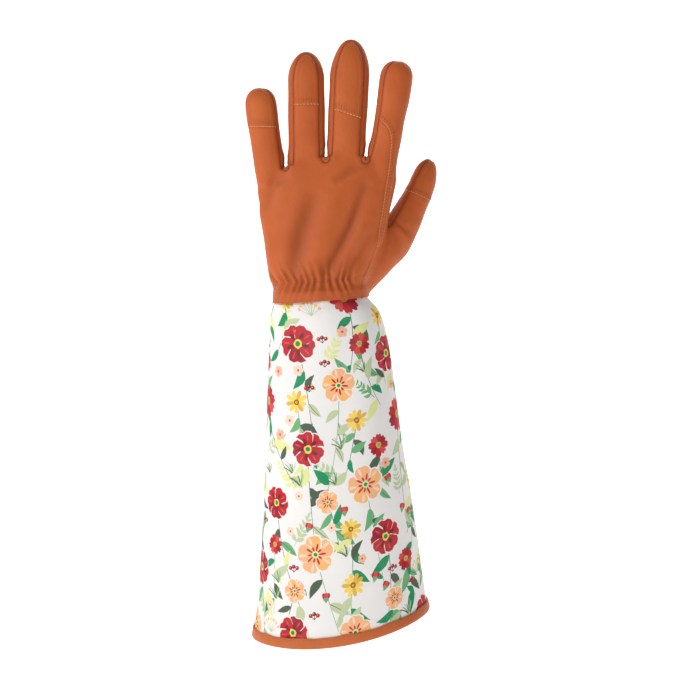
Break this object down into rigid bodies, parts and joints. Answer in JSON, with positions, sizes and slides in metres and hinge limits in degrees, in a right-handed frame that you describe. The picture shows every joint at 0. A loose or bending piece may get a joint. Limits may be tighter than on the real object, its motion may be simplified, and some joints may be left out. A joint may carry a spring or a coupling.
{
  "type": "rose pruning gauntlet",
  "caption": "Left-hand pruning gauntlet, worn shape: leather hand with seamed fingertip patches, gathered wrist and a long flared printed cloth cuff with a bound hem.",
  "frame": {"origin": "middle of the cuff's mouth, where the forearm goes in", "axes": "+Z from the cuff's mouth to the fingertips, -Y out of the back of the hand, +X to the thumb's side"},
  "size_m": [0.1435, 0.1046, 0.4496],
  "materials": {
    "leather": "smooth fine-grained synthetic leather, tan orange",
    "patch_leather": "smooth fine-grained synthetic leather, tan orange",
    "binding_leather": "thin folded leather strip, tan orange",
    "printed_cloth": "close plain weave, off-white with a flower print"
  },
  "bodies": {
    "root": {"back_panel": "leather", "palm_panel": "leather", "side_strip_pinky_ring": "leather", "side_strip_ring_middle": "leather", "side_strip_middle_index": "leather", "thumb_front": "leather", "pinky_tip_patch": "patch_leather", "ring_tip_patch": "patch_leather", "middle_tip_patch": "patch_leather", "thumb_tip_patch": "patch_leather", "cuff_sleeve": "printed_cloth", "hem_binding": "binding_leather"}
  },
  "joints": []
}
